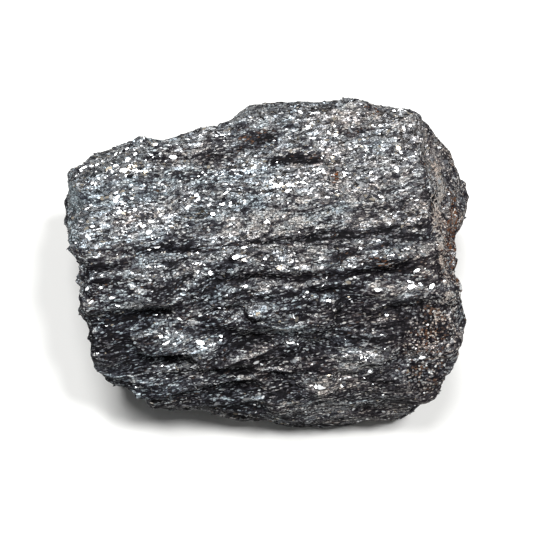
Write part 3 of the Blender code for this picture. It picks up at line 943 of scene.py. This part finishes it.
def six_sided_plates(spot, facing_way, long_way, length, width, random):
    """Corners spot + long_way * cos * length / 2 + side_way * sin * width / 2, half thick each way.

    Each corner is pulled in or out a little, so that no two plates are alike.
    """
    long_way = unit_rows(long_way - facing_way * (long_way * facing_way).sum(axis=1)[:, None])
    side_way = np.cross(facing_way, long_way)
    reach = random.uniform(*CORNER_REACH, (len(spot), len(HEXAGON)))
    along = np.cos(HEXAGON) * reach * length[:, None] / 2
    aside = np.sin(HEXAGON) * reach * width[:, None] / 2
    flat = spot[:, None] + along[..., None] * long_way[:, None] + aside[..., None] * side_way[:, None]
    lift = facing_way[:, None] * PLATE_THICKNESS / 2
    return np.concatenate([flat + lift, flat - lift], axis=1)


print("one plate:", PLATE_CORNERS, "corners,", len(PRISM), "quads")

# %% [markdown]
# The plates crowd where the stone shines, and keep off grit, dust, rust and the resting face. They
# could be scattered by hand or by a particle system, but hands are slow, and particles would not be
# part of the mesh. So squares of the skin are drawn with a chance that grows with the same stored
# numbers. Random waves, stretched along the layers, gather them in clusters.

# %% Where the plates crowd
CROWDING_BY = {"shine_and_painted_light": 1.6, "grit": -0.6, "dust": -1.2, "rust": -1.5}
CLUSTERS = [((4.5, 1.5, 0.8), 0.9), ((10.0, 4.0, 3.0), 0.6)]  # lengths in mm, strength
RESTING_EDGE = 0.1  # mm: a square that reaches lower belongs to the resting face
crowd = sum(strength * place_on[name] for name, strength in CROWDING_BY.items())
for seed, (lengths, strength) in enumerate(CLUSTERS, start=50):
    crowd += strength * random_waves(skin, lengths, seed)
weights = np.exp(crowd[squares].mean(axis=1))
weights[skin[squares, 2].min(axis=1) <= RESTING_EDGE] = 0.0
print("squares that can hold a plate:", np.count_nonzero(weights))

# %% [markdown]
# A plate faces between the skin's own way and the way that most plates face, then sways with its
# neighbours and tilts a little on its own. Grain sizes in rock are many small and few large: these
# start at 0.3 mm, half are under 0.45 mm, and a few are over 1 mm. Each piece crowds less than the
# one before, so the first fills the bright places and the last is strewn more evenly.

# %% Plates of hematite
CROWDING = (1.3, 1.0, 0.6)  # one for each piece
PLATES_PER_PIECE = 5800
SHORTEST = 0.31  # mm
LONGEST = 1.3  # mm
SIZE_SPREAD = (1.3, 0.36)  # shape and scale of the gamma distribution of the length's logarithm
WIDTH_PART = (0.3, 0.65)  # of the length
PLATE_PULL = 1.2  # towards the way that most plates face
PLATE_SWAY = 0.2  # with its neighbours
SWAY_LENGTHS = (4.0, 1.5, 0.9)  # mm
PLATE_TILT = 0.22  # on its own
PLATE_TWIST = 0.5  # of its length from the strike
PLATE_LEVEL = (-0.05, 0.02)  # mm under and over the skin
BOX_MARGIN = 0.03  # mm
random = np.random.default_rng(60)
plate_pieces = []


def make_plates(name, corners, shade, random):
    """One mesh of the plates that lie inside the CAD box, with two random numbers per plate."""
    inside = ((corners > low + BOX_MARGIN) & (corners < high - BOX_MARGIN)).all(axis=(1, 2))
    corners = corners[inside]
    faces = np.array(PRISM) + PLATE_CORNERS * np.arange(len(corners))[:, None, None]
    piece = make_mesh(name, corners.reshape(-1, 3), faces.reshape(-1, 4), smooth=False)
    store(piece, "shade", np.repeat(shade[inside], PLATE_CORNERS))
    store(piece, "tint", np.repeat(random.random(len(corners)), PLATE_CORNERS))
    plate_pieces.append(piece)
    print(name, len(corners), "plates")


for number, crowding in enumerate(CROWDING, start=1):
    spot, outward = places_on_skin(weights**crowding, PLATES_PER_PIECE, random)
    facing_way = outward + PLATE_PULL * (outward @ PLATE_WAY)[:, None] * PLATE_WAY
    sway = np.stack([random_waves(spot, SWAY_LENGTHS, seed) for seed in (71, 72, 73)], axis=1)
    facing_way += PLATE_SWAY * sway + random.normal(0, PLATE_TILT, spot.shape)
    facing_way = unit_rows(facing_way)
    long_way = STRIKE + random.normal(0, PLATE_TWIST, spot.shape)
    shade = random.random(len(spot))
    length = np.minimum(SHORTEST * np.exp(random.gamma(*SIZE_SPREAD, len(spot))), LONGEST)
    width = length * random.uniform(*WIDTH_PART, len(spot))
    spot = spot + outward * random.uniform(*PLATE_LEVEL, (len(spot), 1))
    plate_corners = six_sided_plates(spot, facing_way, long_way, length, width, random)
    make_plates(f"plates_{number}", plate_corners, shade, random)

# %% [markdown]
# ## Large flakes
# A few flakes are a millimetre or so long, and those that face half way between the eye and a lamp
# flash white. Chance alone would put them anywhere, so the brightest of this stone are listed: how
# far to the right and up each is seen, how long and how wide it is. Some more are strewn among
# them.

# %% Listed and strewn flakes
FLAKES = [  # right, up, length and width in mm
    (-23.6, 14.9, 1.3, 0.8), (-20.7, 14.8, 1.0, 0.8), (-17.9, 14.6, 0.9, 0.8), (-14.2, 16.7, 1.4, 0.6),
    (-21.8, 8.5, 1.1, 0.9), (-22.7, 10.4, 0.9, 0.7), (-17.2, 16.9, 0.8, 0.5), (-15.7, -10.0, 0.8, 0.5),
    (-1.3, -6.7, 0.9, 0.6), (-1.5, -13.7, 1.0, 0.7), (-15.1, -10.6, 1.2, 0.6), (-10.1, -10.7, 1.4, 0.8),
    (-9.0, -11.6, 1.0, 0.7), (-4.5, 1.9, 1.4, 0.8), (-3.6, 1.8, 0.9, 0.8), (-22.4, -5.2, 0.8, 0.4),
    (-8.2, -0.5, 1.0, 0.7), (-0.6, -3.8, 1.6, 0.7), (6.0, -3.3, 1.3, 0.5), (9.0, -4.5, 0.9, 0.6),
    (16.9, -3.0, 1.5, 0.7), (21.6, -2.5, 1.4, 0.6), (24.8, -2.4, 1.0, 0.7), (8.3, -17.2, 1.7, 0.9),
    (7.4, -17.4, 1.0, 0.7), (11.2, -17.2, 0.8, 0.5), (-17.2, -19.9, 0.7, 0.4), (1.9, 0.3, 1.2, 0.6),
    (3.5, 12.6, 1.3, 0.7), (5.6, 13.0, 1.0, 0.6), (11.5, 13.9, 0.9, 0.6), (9.9, 20.0, 1.1, 0.7),
    (-11.9, 9.3, 1.0, 0.5), (-6.5, 9.9, 1.1, 0.6), (-17.6, 5.6, 0.9, 0.7), (-16.4, 3.5, 1.2, 0.6),
]
STREWN_FLAKES = 90
STREWN_CROWDING = 1.5
STREWN_LENGTH = (0.6, 1.1)
STREWN_WIDTH = (0.4, 0.6)
TURNED_AWAY = 0.2  # cosine of the angle from skin to OUT, under which a point is out of sight
FAR_OFF = 100.0  # mm, more than any two points of the stone are apart


def under_eye(rights, ups):
    """The skin's point seen nearest to each right and up, and the outward way there."""
    seen_right, seen_up = seen_from_eye(skin - heart)
    gap = np.hypot(seen_right - rights[:, None], seen_up - ups[:, None])
    nearest = (gap + FAR_OFF * (normals @ OUT < TURNED_AWAY)).argmin(axis=1)
    return skin[nearest], normals[nearest]


flake_right, flake_up, flake_length, flake_width = np.array(FLAKES).T
placed, placed_outward = under_eye(flake_right, flake_up)
strewn, strewn_outward = places_on_skin(weights**STREWN_CROWDING, STREWN_FLAKES, random)
spot = np.concatenate([placed, strewn])
outward = np.concatenate([placed_outward, strewn_outward])
length = np.concatenate([flake_length, random.uniform(*STREWN_LENGTH, STREWN_FLAKES)])
width = np.concatenate([flake_width, random.uniform(*STREWN_WIDTH, STREWN_FLAKES)])
print("flakes:", len(placed), "placed,", len(strewn), "strewn")

# %% [markdown]
# A mirror flashes when it faces half way between the eye and the lamp. So the flakes need to know
# where the two lamps hang: one nearly overhead, one high on the right. A flake is turned to its
# flash only where the skin under it faces about that way too, and elsewhere it lies flat.

# %% Large flakes
LAMP_WAYS = {  # degrees round from +X, degrees above the floor
    "high_softbox": (150.0, 80.0),
    "right_softbox": (-15.0, 66.0),
}
NEAR_FLASH = 0.6  # cosine of the widest angle from the skin to the flash
FLAKE_TILT = 0.07
FLAKE_TWIST = 0.4
FLAKE_LIFT = 0.03  # mm
FLAKE_SHADE = 0.95  # bare and bright, as the finish below says
half_ways = unit_rows(np.array([OUT + facing(*way) for way in LAMP_WAYS.values()]))
flash = half_ways[random.integers(0, len(half_ways), len(spot))]
lying = ((flash * outward).sum(axis=1) > NEAR_FLASH)[:, None]
facing_way = np.where(lying, flash, outward) + random.normal(0, FLAKE_TILT, spot.shape)
facing_way = unit_rows(facing_way)
long_way = STRIKE + random.normal(0, FLAKE_TWIST, spot.shape)
spot = spot + outward * FLAKE_LIFT
flake_corners = six_sided_plates(spot, facing_way, long_way, length, width, random)
make_plates("large_flakes", flake_corners, np.full(len(spot), FLAKE_SHADE), random)

# %% [markdown]
# ## The finish of the plates
# A freshly cleaved plate of hematite is a dull mirror: a metal, steel grey, a little rough. One
# bright finish for all would look like tinsel. On the rock three plates in four are stained and
# dark, one in four is bare and bright, and a few are filmed with tan dust. So the two random
# numbers of each plate pick its own finish from one material.

# %% Finish of the plates
cleaved = bpy.data.materials.new("cleaved_hematite_plates")
cleaved.use_nodes = True
tree = cleaved.node_tree
tree.nodes.clear()
own_shade = add(tree, "ShaderNodeAttribute", attribute_name="shade").outputs["Fac"]
own_tint = add(tree, "ShaderNodeAttribute", attribute_name="tint").outputs["Fac"]
steel = add(tree, "ShaderNodeValToRGB", {"Fac": own_shade})
stops = steel.color_ramp.elements
for position, code in [(0.4, "#3b3b40"), (0.7, "#7b7e80"), (0.75, "#9b9d9f")]:
    stops.new(position).color = linear(code)
stops[0].color = linear("#141318")
stops[-1].color = linear("#d2d3d4")
plate_colour = add(tree, "ShaderNodeMix", {
    "Factor_Float": add(tree, "ShaderNodeMapRange", {"Value": own_tint, "From Min": 0.9, "From Max": 0.95}),
    "A_Color": steel,
    "B_Color": linear("#7d766a"),
}, data_type="RGBA")
bare = add(tree, "ShaderNodeMapRange", {"Value": own_shade, "From Min": 0.72, "From Max": 0.75})
# Bare cleaved metal keeps the default IOR, and at roughness 0.34 it gives a bright flash with soft
# edges. The stain on the dark plates is no metal, and as rough and dull as the rock round them.
surface = add(tree, "ShaderNodeBsdfPrincipled", {
    "Base Color": plate_colour,
    "Metallic": bare,
    "Roughness": add(tree, "ShaderNodeMapRange", {"Value": bare, "To Min": 0.6, "To Max": 0.34}),
    "Specular IOR Level": ROCK_GLOSS,
})
add(tree, "ShaderNodeOutputMaterial", {"Surface": surface})
for piece in plate_pieces:
    piece.data.materials.append(cleaved)
    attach(piece, "root")
    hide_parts("hematite_stone")
print("cleaved_hematite_plates on", len(plate_pieces), "pieces")

# %% [markdown]
# ## Floor and light
# The stone lies on plain white paper. One lamp alone would leave its shadows black, and light from
# all round would put the sparkle out. So there are two soft ones. A wide one nearly overhead makes
# the flat top bright and the steep front dark. A smaller and stronger one, high on the right, gives
# the plates their flash and the stone its shadow. The room itself adds little.

# %% Floor
FLOOR_HALF = 900.0
floor_corners = FLOOR_HALF * np.array([[-1, -1, 0], [1, -1, 0], [1, 1, 0], [-1, 1, 0]])
floor = make_mesh("floor", floor_corners, np.array([[0, 1, 2, 3]]))
# White paper is matt, which gives the stone's shadow a clean, even ground.
paper = bpy.data.materials.new("white_paper")
paper.use_nodes = True
sheet = paper.node_tree.nodes["Principled BSDF"]
sheet.inputs["Base Color"].default_value = linear("#f4f4f2")
sheet.inputs["Roughness"].default_value = 0.9
floor.data.materials.append(paper)
print("floor:", 2 * FLOOR_HALF, "mm square")

# %% [markdown]
# A lamp's size, set against how far off it is, decides how soft the shadow's edge is: the right one
# is 260 mm wide at a metre, for an edge of a few millimetres.

# %% Lamps and world
LAMPS = {  # mm away, mm wide, watts
    "high_softbox": (700.0, 350.0, 4.4),
    "right_softbox": (1000.0, 260.0, 8.2),
}
ROOM_LIGHT = 0.12
for name, (distance, across, watts) in LAMPS.items():
    lamp = bpy.data.objects.new(name, bpy.data.lights.new(name, "AREA"))
    lamp.data.shape = "DISK"
    lamp.data.size = across * MM
    lamp.data.energy = watts
    look_at(lamp, AIM + facing(*LAMP_WAYS[name]) * distance, AIM)
world = bpy.data.worlds.new("dim_room")
world.use_nodes = True
world.node_tree.nodes["Background"].inputs["Color"].default_value = (1.0, 1.0, 1.0, 1.0)
world.node_tree.nodes["Background"].inputs["Strength"].default_value = ROOM_LIGHT
bpy.context.scene.world = world
bpy.context.scene.view_settings.view_transform = "Standard"
print("lamps:", ", ".join(LAMPS))
